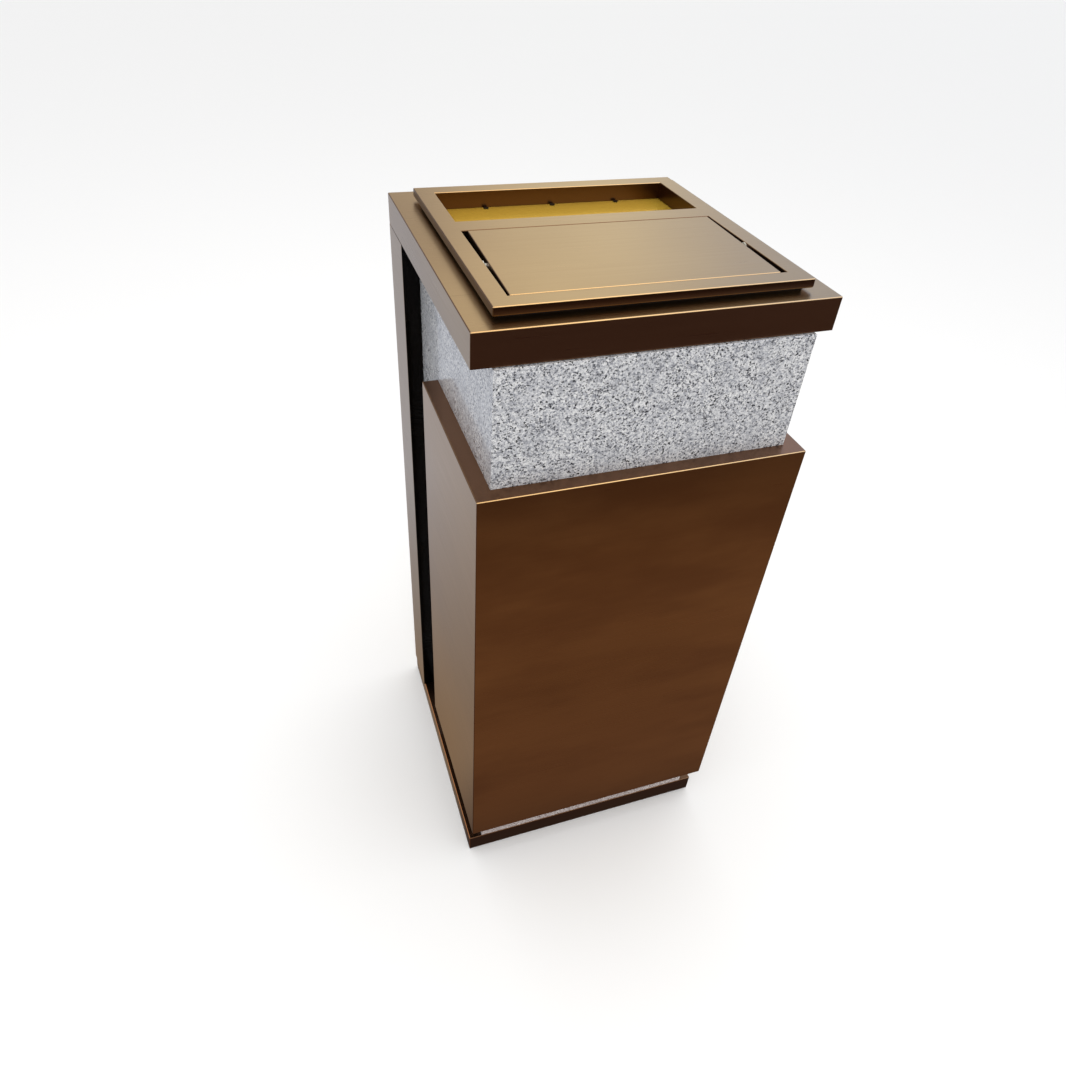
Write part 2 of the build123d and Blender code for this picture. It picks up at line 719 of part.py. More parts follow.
def hole_edges(part):
    """The upper edges of the holes in the lid's top."""
    top = part.faces().sort_by(Axis.Z)[-1]
    return [edge for wire in top.inner_wires() for edge in wire.edges()]


def lid_collar():
    """Angle ring that centres the lid in the cap's mouth."""
    inner = COLLAR_HALF_W - THIN
    ys = (COLLAR_YS[0] + THIN, COLLAR_YS[1] - THIN)
    upright = ring(inner, ys, (COLLAR_LOW, LID_LOW), THIN)
    flange = block(
        (-MOUTH_HALF_W - SEAL_OUT, MOUTH_HALF_W + SEAL_OUT),
        (MOUTH_FRONT - SEAL_OUT, MOUTH_REAR + SEAL_OUT),
        (LID_LOW - THIN, LID_LOW),
    )
    flange -= block((-inner, inner), ys, (LID_LOW - MARGIN, LID_LOW + MARGIN))
    return upright + flange


def lid_seal():
    """Black rubber strip under the collar's flange, the lid's seat on the cap."""
    ys = (MOUTH_FRONT - 1, MOUTH_REAR + 1)
    return ring(MOUTH_HALF_W + 1, ys, (CAP_TOP, LID_LOW - THIN), SEAL_OUT - 1)


def ash_rivet_places():
    return [(x, y) for x in ASH_RIVET_XS for y in (ASH_FRONT + ASH_RIVET_IN, ASH_REAR - ASH_RIVET_IN)]


def ash_rivet_holes(part):
    """The part with the holes of the ash tray's rivets."""
    for x, y in ash_rivet_places():
        part -= rod("z", ASH_FLOOR - MARGIN, ASH_FLOOR + MARGIN, ASH_RIVET_R + FIT, x, y)
    return part


def ash_tray_floor():
    """Polished plate that lies on the flange at the foot of the ash tray's walls."""
    half = ASH_HALF_W - ASH_FLOOR_GAP
    ys = (ASH_FRONT + ASH_FLOOR_GAP, ASH_REAR - ASH_FLOOR_GAP)
    return ash_rivet_holes(block((-half, half), ys, (ASH_FLOOR - THIN, ASH_FLOOR)))


def ash_tray_rivets():
    """Three rivets along the rear edge of the floor plate and three along its front."""
    grip = THIN + SHEET
    return [rivet("z", ASH_FLOOR, grip, -1, ASH_RIVET_R, x, y) for x, y in ash_rivet_places()]


def pivot_bushes():
    """Flanged nylon bushes in the lips beside the flap."""
    face = FLAP_HOLE_HALF_W
    bush = rod("x", face, face + BUSH_LENGTH, BUSH_R, PIVOT_Y, PIVOT_Z)
    bush += rod("x", face - BUSH_FLANGE_T, face, BUSH_FLANGE_R, PIVOT_Y, PIVOT_Z)
    bush -= rod("x", face - MARGIN, face + MARGIN, PIVOT_R + FIT, PIVOT_Y, PIVOT_Z)
    return mirrored([bush])


def flap_stops():
    """Headed pins that the counterweight's ends meet at full swing."""
    face = FLAP_HOLE_HALF_W + SHEET
    pins = [
        rod("x", face - STOP_LENGTH, face, STOP_R, y, z) + rod("x", face, face + 1, STOP_HEAD_R, y, z)
        for y, z in stop_places()
    ]
    return mirrored(pins)


# ---------------------------------------------------------------- swing flap

def skewed(half_w, half_l, zs):
    """A prism about the pivot, with its ends out of square."""
    lean = FLAP_SKEW * half_l / FLAP_HALF_L
    front = PIVOT_Y - half_l
    rear = PIVOT_Y + half_l
    outline = [
        (-half_w - lean, front),
        (half_w - lean, front),
        (half_w + lean, rear),
        (-half_w + lean, rear),
    ]
    return prism(outline, zs)


def flap_panel():
    """Flap with its four edges turned down."""
    part = rounded(skewed(FLAP_HALF_W, FLAP_HALF_L, (FLAP_LOW, HEIGHT)), FLAP_BEND)
    inside = (FLAP_LOW - MARGIN, HEIGHT - SHEET)
    part -= skewed(FLAP_HALF_W - SHEET, FLAP_HALF_L - SHEET, inside)
    reach = FLAP_HALF_W + MARGIN
    return part - rod("x", -reach, reach, PIVOT_R + FIT, PIVOT_Y, PIVOT_Z)


def flap_arms():
    """Two plates under the flap that carry the pivot pins and the counterweight."""
    ys = (PIVOT_Y - ARM_HALF, PIVOT_Y + ARM_HALF)
    top = HEIGHT - SHEET
    arm = block((ARM_X, ARM_X + ARM_T), ys, (ARM_LOW, top))
    arm += block((ARM_X - ARM_FLANGE, ARM_X), ys, (top - ARM_T, top))
    slot = PIN_HEAD_R + 1
    arm -= block(
        (ARM_X - PIN_HEAD_T - 1, ARM_X), (PIVOT_Y - slot, PIVOT_Y + slot), (top - ARM_T, top)
    )
    arm -= counterweight()
    arm -= rod("x", ARM_X - MARGIN, ARM_X + MARGIN, PIVOT_R + FIT, PIVOT_Y, PIVOT_Z)
    return mirrored([arm])


def counterweight():
    """Steel bar below the pivot that brings the flap back level."""
    return block(
        (-WEIGHT_HALF_L, WEIGHT_HALF_L),
        (PIVOT_Y - WEIGHT_HALF_W, PIVOT_Y + WEIGHT_HALF_W),
        (WEIGHT_LOW, WEIGHT_TOP),
    )


def pivot_pins():
    """Headed pins from the arms into the bushes."""
    pin = rod("x", ARM_X, FLAP_HOLE_HALF_W + PIN_OUT, PIVOT_R, PIVOT_Y, PIVOT_Z)
    pin += rod("x", ARM_X - PIN_HEAD_T, ARM_X, PIN_HEAD_R, PIVOT_Y, PIVOT_Z)
    return mirrored([pin])


def pivot_spacers():
    """Sleeves between each arm and the flap's turned-down edge, cut to the edge's slant."""
    near = ARM_X + ARM_T
    far = FLAP_HALF_W - SHEET
    sleeve = rod("x", near, far, SPACER_R, PIVOT_Y, PIVOT_Z)
    sleeve -= rod("x", near - MARGIN, far + MARGIN, PIVOT_R + FIT, PIVOT_Y, PIVOT_Z)
    panel = flap_panel()
    return [one - panel for one in mirrored([sleeve])]


# ---------------------------------------------------------------- inner bucket

def bucket_shell():
    """Open galvanised bucket."""
    part = block(
        (-BUCKET_HALF_W, BUCKET_HALF_W), (BUCKET_FRONT, BUCKET_REAR), (BUCKET_LOW, BUCKET_TOP)
    )
    part = soften(part, BUCKET_BEND, Axis.Z)
    half = BUCKET_HALF_W - BUCKET_T
    hollow = block(
        (-half, half),
        (BUCKET_FRONT + BUCKET_T, BUCKET_REAR - BUCKET_T),
        (BUCKET_LOW + BUCKET_T, BUCKET_TOP + MARGIN),
    )
    part -= soften(hollow, BUCKET_BEND - BUCKET_T, Axis.Z)
    for y, z in handle_rivet_places():
        part -= rod("x", -BUCKET_HALF_W - MARGIN, BUCKET_HALF_W + MARGIN, RIVET_R + FIT, y, z)
    return part


def bucket_rim():
    """Flat bar round the outside of the bucket's mouth."""
    zs = (BUCKET_TOP - RIM_H, BUCKET_TOP)
    outer = block(
        (-BUCKET_HALF_W - RIM_OUT, BUCKET_HALF_W + RIM_OUT),
        (BUCKET_FRONT - RIM_OUT, BUCKET_REAR + RIM_OUT),
        zs,
    )
    outer = soften(outer, BUCKET_BEND + RIM_OUT, Axis.Z)
    outer = fillet(outer.faces().sort_by(Axis.Z)[-1].edges(), 1)
    inner = block(
        (-BUCKET_HALF_W, BUCKET_HALF_W),
        (BUCKET_FRONT, BUCKET_REAR),
        (zs[0] - MARGIN, zs[1] + MARGIN),
    )
    return outer - soften(inner, BUCKET_BEND, Axis.Z)


def bucket_feet():
    """Rubber discs that the bucket stands on."""
    places = [(side * BUCKET_FOOT_X, y) for side in (-1, 1) for y in BUCKET_FOOT_YS]
    return [rod("z", PLINTH_TOP, BUCKET_LOW, BUCKET_FOOT_R, x, y) for x, y in places]


def handle_rivet_places():
    middle = (EYE_YS[0] + EYE_YS[1]) / 2
    return [
        (side * middle, HANDLE_Z + dz)
        for side in (-1, 1)
        for dz in (-BRACKET_RIVET_DZ, BRACKET_RIVET_DZ)
    ]


def handle_brackets():
    """Two eyes on each side wall of the bucket."""
    brackets = []
    face = HANDLE_WALL - SHEET
    base_zs = (HANDLE_Z - BRACKET_HALF_H, HANDLE_Z + BRACKET_HALF_H)
    eye_xs = (HANDLE_X - EYE_HALF, face)
    for side in (-1, 1):
        eye_ys = sorted((side * EYE_YS[0], side * EYE_YS[1]))
        base_ys = (eye_ys[0] - BRACKET_SIDE, eye_ys[1] + BRACKET_SIDE)
        part = block((face, HANDLE_WALL), base_ys, base_zs)
        part += block(eye_xs, eye_ys, (HANDLE_Z - EYE_HALF, HANDLE_Z + EYE_HALF))
        part -= rod("y", eye_ys[0] - MARGIN, eye_ys[1] + MARGIN, WIRE_R + FIT, HANDLE_X, HANDLE_Z)
        for y, z in handle_rivet_places():
            part -= rod("x", eye_xs[0], HANDLE_WALL + MARGIN, RIVET_R + FIT, y, z)
        brackets.append(part)
    return mirrored(brackets)


def bracket_rivets():
    """Blind rivets through the brackets and the bucket's walls."""
    grip = SHEET + BUCKET_T
    face = HANDLE_WALL - SHEET
    rivets = [rivet("x", face, grip, 1, RIVET_R, y, z) for y, z in handle_rivet_places()]
    return mirrored(rivets)


def handle():
    """Wire drop handle on the right wall, hanging from its two eyes."""
    outer = HANDLE_HALF + HANDLE_STUB
    low = HANDLE_Z - HANDLE_DROP
    path = FilletPolyline(
        (HANDLE_X, -outer, HANDLE_Z),
        (HANDLE_X, -HANDLE_HALF, HANDLE_Z),
        (HANDLE_X, -HANDLE_HALF, low),
        (HANDLE_X, HANDLE_HALF, low),
        (HANDLE_X, HANDLE_HALF, HANDLE_Z),
        (HANDLE_X, outer, HANDLE_Z),
        radius=WIRE_BEND,
    )
    section = Plane(origin=path @ 0, z_dir=path % 0) * Circle(WIRE_R)
    return sweep(section, path)


# ---------------------------------------------------------------- all the nodes

def nodes():
    side_case = casing_side()
    side_stone = granite_side()
    side_skirt = skirt_side()
    right_handle = handle()
    return {
        "base_plinth": plinth(),
        "foot_pads": foot_pads(),
        "foot_studs": foot_studs(),
        "foot_nuts": foot_nuts(),
        "column_shell": column_shell(),
        "rear_panel": rear_panel(),
        "rear_panel_screws": rear_screws(),
        "rear_panel_nuts": rear_nuts(),
        "casing_front": casing_front(),
        "casing_back": casing_back(),
        "casing_right": side_case,
        "casing_left": mirror(side_case, Plane.YZ),
        "casing_rivets": casing_rivets(),
        "casing_bolts": casing_bolts(),
        "casing_nuts": casing_nuts(),
        "granite_front": granite_front(),
        "granite_right": side_stone,
        "granite_left": mirror(side_stone, Plane.YZ),
        "stone_adhesive": stone_adhesive(),
        "skirt_front": skirt_front(),
        "skirt_right": side_skirt,
        "skirt_left": mirror(side_skirt, Plane.YZ),
        "skirt_rails": skirt_rails(),
        "skirt_bolts": skirt_bolts(),
        "skirt_nuts": skirt_nuts(),
        "cap_shell": cap_shell(),
        "cap_underplate": cap_underplate(),
        "cap_screws": cap_screws(),
        "cap_nuts": cap_nuts(),
        "lid_plate": lid_plate(),
        "lid_collar": lid_collar(),
        "lid_seal": lid_seal(),
        "ash_tray_floor": ash_tray_floor(),
        "ash_tray_rivets": ash_tray_rivets(),
        "pivot_bushes": pivot_bushes(),
        "flap_stops": flap_stops(),
        "flap_panel": flap_panel(),
        "flap_arms": flap_arms(),
        "counterweight": counterweight(),
        "pivot_pins": pivot_pins(),
        "pivot_spacers": pivot_spacers(),
        "bucket_shell": bucket_shell(),
        "bucket_rim": bucket_rim(),
        "bucket_feet": bucket_feet(),
        "handle_brackets": handle_brackets(),
        "bracket_rivets": bracket_rivets(),
        "right_handle": right_handle,
        "left_handle": mirror(right_handle, Plane.YZ),
    }


os.makedirs("parts", exist_ok=True)
for name, shape in nodes().items():
    solids = shape if isinstance(shape, list) else [shape]
    export_step(Compound(children=solids), f"parts/{name}.step")
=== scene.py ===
import bpy
import json
import math
from mathutils import Euler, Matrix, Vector

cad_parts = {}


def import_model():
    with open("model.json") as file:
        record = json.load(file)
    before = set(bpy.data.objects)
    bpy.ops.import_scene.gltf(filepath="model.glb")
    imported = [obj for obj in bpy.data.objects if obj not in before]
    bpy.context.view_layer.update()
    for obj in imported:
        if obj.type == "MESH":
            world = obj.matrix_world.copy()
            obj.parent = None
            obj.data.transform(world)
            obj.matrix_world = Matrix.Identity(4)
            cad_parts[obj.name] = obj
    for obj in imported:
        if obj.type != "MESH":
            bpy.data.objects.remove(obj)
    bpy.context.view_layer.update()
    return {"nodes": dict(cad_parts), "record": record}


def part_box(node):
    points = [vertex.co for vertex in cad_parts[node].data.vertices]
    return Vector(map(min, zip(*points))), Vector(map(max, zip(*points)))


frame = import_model()


# ------------------------------------------------------------------ node helpers

class Nodes:
    """A node tree, with short calls for the nodes used here."""

    def __init__(self, tree):
        self.tree = tree

    def node(self, kind, **settings):
        made = self.tree.nodes.new(kind)
        for key, value in settings.items():
            setattr(made, key, value)
        return made

    def feed(self, socket, value):
        if isinstance(value, bpy.types.NodeSocket):
            self.tree.links.new(value, socket)
        else:
            socket.default_value = value

    def math(self, operation, a, b=0.0):
        made = self.node("ShaderNodeMath", operation=operation)
        self.feed(made.inputs[0], a)
        self.feed(made.inputs[1], b)
        return made.outputs[0]

    def times(self, a, b):
        return self.math("MULTIPLY", a, b)

    def mix(self, share, a, b, how="MIX"):
        """Blends two colours."""
        made = self.node("ShaderNodeMix", data_type="RGBA", blend_type=how)
        self.feed(made.inputs["Factor"], share)
        self.feed(made.inputs[6], a)
        self.feed(made.inputs[7], b)
        return made.outputs[2]

    def step(self, value, low, high):
        """0 at low, 1 at high, smooth between and flat outside."""
        made = self.node("ShaderNodeMapRange", interpolation_type="SMOOTHSTEP")
        self.feed(made.inputs["Value"], value)
        made.inputs["From Min"].default_value = low
        made.inputs["From Max"].default_value = high
        return made.outputs["Result"]

    def span(self, value, low, high):
        """Turns 0..1 into low..high."""
        made = self.node("ShaderNodeMapRange")
        self.feed(made.inputs["Value"], value)
        made.inputs["To Min"].default_value = low
        made.inputs["To Max"].default_value = high
        return made.outputs["Result"]

    def ramp(self, value, stops, interpolation="LINEAR"):
        """Colours along value; stops are (value, linear colour), with values of any range."""
        low, high = stops[0][0], stops[-1][0]
        inside = self.node("ShaderNodeMapRange")
        self.feed(inside.inputs["Value"], value)
        inside.inputs["From Min"].default_value = low
        inside.inputs["From Max"].default_value = high
        made = self.node("ShaderNodeValToRGB")
        made.color_ramp.interpolation = interpolation
        elements = made.color_ramp.elements
        while len(elements) < len(stops):
            elements.new(0.5)
        for element, (place, colour) in zip(elements, stops):
            element.position = (place - low) / (high - low)
            element.color = (*colour[:3], 1)
        self.feed(made.inputs[0], inside.outputs["Result"])
        return made.outputs[0]

    def split(self, vector):
        made = self.node("ShaderNodeSeparateXYZ")
        self.feed(made.inputs[0], vector)
        return made.outputs[:3]


class Surface(Nodes):
    """A new material on the Principled shader, with its patterns in object space."""

    def __init__(self, name):
        self.material = bpy.data.materials.new(name)
        self.material.use_nodes = True
        super().__init__(self.material.node_tree)
        self.shader = self.tree.nodes["Principled BSDF"]
        self.place = self.node("ShaderNodeTexCoord").outputs["Object"]

    def scaled(self, scale):
        made = self.node("ShaderNodeMapping")
        self.feed(made.inputs["Vector"], self.place)
        made.inputs["Scale"].default_value = scale
        return made.outputs["Vector"]

    def noise(self, vector, scale=1.0, detail=2.0, roughness=0.5):
        made = self.node("ShaderNodeTexNoise")
        self.feed(made.inputs["Vector"], vector)
        made.inputs["Scale"].default_value = scale
        made.inputs["Detail"].default_value = detail
        made.inputs["Roughness"].default_value = roughness
        return made.outputs["Fac"]

    def cells(self, vector, scale):
        """A random value for each cell of a Voronoi pattern."""
        made = self.node("ShaderNodeTexVoronoi")
        self.feed(made.inputs["Vector"], vector)
        made.inputs["Scale"].default_value = scale
        apart = self.node("ShaderNodeSeparateColor")
        self.feed(apart.inputs[0], made.outputs["Color"])
        return apart.outputs[0]

    def normal(self):
        """The x, y and z of the surface's own normal."""
        turn = self.node(
            "ShaderNodeVectorTransform", vector_type="NORMAL", convert_from="WORLD", convert_to="OBJECT"
        )
        self.feed(turn.inputs[0], self.node("ShaderNodeNewGeometry").outputs["Normal"])
        return self.split(turn.outputs[0])

    def bump(self, height, strength, distance):
        made = self.node("ShaderNodeBump")
        made.inputs["Strength"].default_value = strength
        made.inputs["Distance"].default_value = distance
        self.feed(made.inputs["Height"], height)
        self.feed(self.shader.inputs["Normal"], made.outputs[0])

    def set(self, **values):
        """Sets the shader's own inputs, with _ for each space in their names."""
        for key, value in values.items():
            self.feed(self.shader.inputs[key.replace("_", " ")], value)

    def tint(self, mask, share, colour):
        """Blends a share of a colour over the base colour where mask is 1."""
        now = self.shader.inputs["Base Color"].links[0].from_socket
        self.set(Base_Color=self.mix(self.times(mask, share), now, colour))


def rgb(red, green, blue):
    """An sRGB colour, 0 to 255, as linear RGBA."""
    out = []
    for part in (red, green, blue):
        part = part / 255
        out.append(part / 12.92 if part <= 0.04045 else ((part + 0.055) / 1.055) ** 2.4)
    return (*out, 1)


# ------------------------------------------------------------------ brushed metal

BRONZE_LIGHT = rgb(181, 152, 111)
BRONZE_DARK = rgb(152, 122, 84)
EDGE_HIGHLIGHT_AND_WEAR = rgb(255, 208, 150)     # painted highlight on upper bends that face forward, over their copper wear
EDGE_WEAR_AND_SHADE = rgb(104, 70, 50)        # all other bends: copper wear with a painted darker reflection
EDGE_SHARE = 0.9
LINE_LONG, LINE_FINE = 7, 620        # pattern scales along and across the brushed lines
LINE_SHARE = 0.13                    # how much the lines darken the bronze
SCRATCH_SHARE = 0.35                 # and the few scratches lighten it
SMEAR_SCALE = (2.0, 2.0, 3.2)
STREAK_SCALE = (3.0, 3.0, 60)
SCRATCH_SCALE = (9, 9, 900)
SMEAR_SHARE, STREAK_SHARE = 0.88, 0.12
SMEAR_REACH = 0.15                   # how far from the middle a smear of strength 1 is at its full tone
SMEAR_ROUGH = 0.04                   # how far a smear changes the roughness
COAT_ROUGH = 0.12
LINE_DEPTH = 0.0004


# by default, upper bends that face forward get a painted highlight and all other bends a painted darker
# reflection
def brushed(name, light=BRONZE_LIGHT, dark=BRONZE_DARK, other_bend_wear_and_light=EDGE_WEAR_AND_SHADE, forward_bend_wear_and_light=EDGE_HIGHLIGHT_AND_WEAR,
            rough=(0.24, 0.36), smears=0.6, coat=0.25):
    """Brushed sheet: fine lines along the sheet, soft smears, and bends of another colour: copper wear
    with painted light, one colour for upper bends that face forward and another for the rest.

    The result also holds masks for its flat faces: flat, upright, level and front.
    """
    g = Surface(name)
    nx, ny, nz = g.normal()
    wide_x, wide_y, wide_z = [g.math("ABSOLUTE", part) for part in (nx, ny, nz)]
    along_x = g.noise(g.scaled((LINE_LONG, LINE_FINE, LINE_FINE)), detail=3, roughness=0.6)
    along_y = g.noise(g.scaled((LINE_FINE, LINE_LONG, LINE_FINE)), detail=3, roughness=0.6)
    lines = g.mix(g.step(wide_x, 0.6, 0.8), along_x, along_y)
    smear = g.noise(g.scaled(SMEAR_SCALE), detail=3)
    streak = g.noise(g.scaled(STREAK_SCALE), detail=3)
    scratch = g.noise(g.scaled(SCRATCH_SCALE), detail=1)
    tone = g.math("ADD", g.times(smear, SMEAR_SHARE), g.times(streak, STREAK_SHARE))
    reach = SMEAR_REACH / smears
    colour = g.mix(g.step(tone, 0.5 - reach, 0.5 + reach), dark, light)
    colour = g.mix(g.times(g.step(lines, 0.35, 0.75), LINE_SHARE), colour, dark)
    colour = g.mix(g.times(g.step(scratch, 0.74, 0.8), SCRATCH_SHARE), colour, light)
    largest = g.math("MAXIMUM", g.math("MAXIMUM", wide_x, wide_y), wide_z)
    bend = g.step(g.math("SUBTRACT", 1.0, largest), 0.012, 0.12)
    # painted light on the bends: upper bends that face forward take one colour, all others another
    forward = g.times(g.step(ny, -0.1, -0.3), g.step(nz, 0.1, 0.3))
    g.set(Base_Color=g.mix(g.times(bend, EDGE_SHARE), colour, g.mix(forward, other_bend_wear_and_light, forward_bend_wear_and_light)))
    g.set(Metallic=1.0, Coat_Weight=coat, Coat_Roughness=COAT_ROUGH)
    g.set(Roughness=g.math("ADD", g.span(lines, *rough), g.span(smear, -SMEAR_ROUGH, SMEAR_ROUGH)))
    g.bump(lines, 0.08, LINE_DEPTH)
    g.flat = g.step(largest, 0.95, 0.99)
    g.upright = g.times(g.flat, g.step(wide_z, 0.5, 0.3))
    g.level = g.times(g.flat, g.step(nz, 0.6, 0.9))
    g.front = g.times(g.flat, g.step(ny, -0.6, -0.9))
    return g


SEAM_PLACE = 0.2          # from the cap's front to its back
SEAM_HALF = 0.0009
PAINTED_SHADE_DEPTH = 0.0012      # how deep the painted shade, black, on the column's front face goes
FLAP_GAP = 0.006          # holds the lid's bend behind the flap, which takes a painted shade


def column_bronze():
    """The column's bronze. Its front face, beside the stone, is painted black: painted shade where it
    lies in shadow beside the stone.
    """
    g = brushed("column_bronze", smears=0.4)
    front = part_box("column_shell")[0][1]
    painted_shade = g.step(g.split(g.place)[1], front + PAINTED_SHADE_DEPTH, front + PAINTED_SHADE_DEPTH / 3)
    # painted shade: the column's front face is made black
    g.tint(painted_shade, 1.0, rgb(12, 9, 8))
    return g.material


def cap_bronze():
    """The cap's bronze, with a painted darker reflection on its front face, and a fine welded seam
    across each side.
    """
    g = brushed("cap_bronze")
    # painted reflection: the cap's front faces are darkened
    g.tint(g.front, 0.8, rgb(150, 112, 90))
    low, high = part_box("cap_shell")
    seam_at = low[1] + SEAM_PLACE * (high[1] - low[1])
    off = g.math("ABSOLUTE", g.math("SUBTRACT", g.split(g.place)[1], seam_at))
    seam = g.times(g.step(off, SEAM_HALF, SEAM_HALF / 3), g.level)
    g.tint(seam, 0.3, rgb(120, 92, 60))
    return g.material


def lid_bronze():
    """The lid's bronze. Its rim carries a painted dark reflection and the lips of its holes a painted
    shade, both much darker.
    """
    g = brushed("lid_bronze")
    # painted reflection: the lid's upright rim faces are darkened
    g.tint(g.upright, 0.95, rgb(84, 56, 42))
    # painted shade on the lid's bend behind the flap
    flap_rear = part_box("flap_panel")[1][1]
    off = g.math("ABSOLUTE", g.math("SUBTRACT", g.split(g.place)[1], flap_rear))
    bend = g.times(g.step(off, FLAP_GAP, FLAP_GAP * 2 / 3), g.math("SUBTRACT", 1.0, g.flat))
    g.tint(bend, 0.9, EDGE_WEAR_AND_SHADE)
    return g.material


def plinth_bronze():
    """The plinth's bronze, painted darker as shade under the skirt, its level faces in painted shadow,
    and copper bends: wear with a painted highlight, dull with painted shade in front.
    """
    g = brushed(
        "plinth_bronze",
        # painted shade: both tones are darker than the other bronze
        rgb(128, 98, 74),
        rgb(98, 74, 54),
        other_bend_wear_and_light=rgb(255, 170, 104),
        forward_bend_wear_and_light=rgb(132, 96, 72),
    )
    # painted shadow: the plinth's level faces are darkened
    g.tint(g.level, 0.8, rgb(70, 46, 34))
    return g.material


def skirt_bronze():
    """The skirt's bronze, redder. Its front is cloudy, and its upper rim carries a painted dark
    reflection.
    """
    g = brushed("skirt_bronze", rgb(186, 150, 104), rgb(154, 120, 80), smears=0.45)
    cloud = g.noise(g.scaled((3.2, 3.2, 9)), detail=4, roughness=0.55)
    stain = g.times(g.step(cloud, 0.42, 0.68), g.front)
    g.tint(stain, 0.45, rgb(122, 86, 56))
    # painted reflection: the skirt's level rim faces are darkened
    g.tint(g.level, 0.92, rgb(118, 80, 56))
    return g.material


def gold():
    """Polished gold-toned floor of the ash tray, faintly brushed and smeared."""
    g = brushed("gold", rgb(255, 212, 84), rgb(246, 196, 66), rough=(0.14, 0.24), coat=0.0)
    g.set(Metallic=0.65)
    return g.material


# ------------------------------------------------------------------ other materials

GRAIN_SCALE = 520         # pattern scales of the stone's grains
FINE_GRAIN_SCALE = 980
MICA_SCALE = 640
WOBBLE_SCALE = 700        # bends the grains' outlines
WOBBLE = 0.0022
CLOUD_SCALE = 30
FINE_SHARE = 0.4
MICA_SHARE = 0.95
CLOUD_SHARE = 0.22
WARM_SHARE = 0.35
WARM_BLEND = 0.004        # half the height over which the stone turns warm


def granite():
    """Polished fine-grained granite: white and blue-grey grains with black mica.

    Its front is a little warmer below the skirt.
    """
    g = Surface("granite")
    wobble = g.node("ShaderNodeTexNoise")
    g.feed(wobble.inputs["Vector"], g.place)
    wobble.inputs["Scale"].default_value = WOBBLE_SCALE
    wobble.inputs["Detail"].default_value = 3
    place = g.mix(WOBBLE, g.place, wobble.outputs["Color"], "ADD")
    grains = g.ramp(
        g.cells(place, GRAIN_SCALE),
        [
            (0.0, rgb(58, 60, 68)),
            (0.11, rgb(106, 109, 118)),
            (0.22, rgb(154, 156, 163)),
            (0.44, rgb(188, 189, 192)),
            (0.72, rgb(214, 214, 214)),
            (1.0, rgb(214, 214, 214)),
        ],
        "CONSTANT",
    )
    fine = g.ramp(
        g.cells(place, FINE_GRAIN_SCALE),
        [
            (0.0, rgb(72, 75, 84)),
            (0.18, rgb(146, 148, 154)),
            (0.45, rgb(210, 210, 211)),
            (1.0, rgb(210, 210, 211)),
        ],
        "CONSTANT",
    )
    colour = g.mix(FINE_SHARE, grains, fine)
    mica = g.step(g.cells(place, MICA_SCALE), 0.1, 0.085)
    colour = g.mix(g.times(mica, MICA_SHARE), colour, rgb(34, 35, 40))
    cloud = g.noise(g.place, scale=CLOUD_SCALE, detail=3)
    colour = g.mix(g.times(g.step(cloud, 0.42, 0.7), CLOUD_SHARE), colour, rgb(140, 143, 152))
    skirt_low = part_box("skirt_front")[0][2]
    below = g.step(g.split(g.place)[2], skirt_low + WARM_BLEND, skirt_low - WARM_BLEND)
    front = g.step(g.normal()[1], -0.6, -0.9)
    colour = g.mix(g.times(g.times(below, front), WARM_SHARE), colour, rgb(176, 146, 130))
    g.set(Base_Color=colour, Roughness=g.span(cloud, 0.2, 0.34))
    g.set(Coat_Weight=0.35, Coat_Roughness=0.06)
    g.bump(g.cells(place, GRAIN_SCALE), 0.03, 0.0002)
    return g.material


SPANGLE_SCALE = 85
ZINC_GRAIN_SCALE = 240


def galvanised():
    """Zinc-dipped sheet with its spangle."""
    g = Surface("galvanised")
    spangle = g.cells(g.place, SPANGLE_SCALE)
    fine = g.noise(g.place, scale=ZINC_GRAIN_SCALE, detail=3)
    colour = g.mix(spangle, rgb(150, 154, 158), rgb(196, 199, 202))
    colour = g.mix(g.times(fine, 0.3), colour, rgb(120, 124, 128))
    g.set(Base_Color=colour, Metallic=0.9, Roughness=g.span(spangle, 0.32, 0.5))
    g.bump(fine, 0.08, 0.0003)
    return g.material


def plain(name, light, dark, rough, metallic=0.0, grain=300.0):
    """Hardware, rubber and plastic: two tones of fine grain with a little bump."""
    g = Surface(name)
    fine = g.noise(g.place, scale=grain, detail=4, roughness=0.6)
    g.set(Base_Color=g.mix(g.step(fine, 0.35, 0.7), dark, light), Metallic=metallic)
    g.set(Roughness=g.span(fine, *rough))
    g.bump(fine, 0.1, 0.0002)
    return g.material


MATERIALS = {
    "antique_bronze": brushed("bronze").material,
    "gold": gold(),
    "granite": granite(),
    "galvanised": galvanised(),
    "dark_steel": plain("dark_steel", rgb(52, 42, 34), rgb(30, 24, 20), (0.35, 0.5), 0.6),
    "zinc": plain("zinc", rgb(196, 198, 200), rgb(160, 162, 165), (0.25, 0.4), 1.0),
    "black_rubber": plain("black_rubber", rgb(34, 34, 34), rgb(18, 18, 18), (0.6, 0.8)),
    "nylon": plain("nylon", rgb(226, 222, 208), rgb(205, 200, 186), (0.4, 0.55)),
    "mastic": plain("mastic", rgb(160, 160, 154), rgb(130, 130, 126), (0.6, 0.8), grain=120.0),
}
SKIRT = skirt_bronze()
NODE_MATERIALS = {
    "base_plinth": plinth_bronze(),
    "column_shell": column_bronze(),
    "cap_shell": cap_bronze(),
    "lid_plate": lid_bronze(),
    "skirt_front": SKIRT,
    "skirt_left": SKIRT,
    "skirt_right": SKIRT,
}


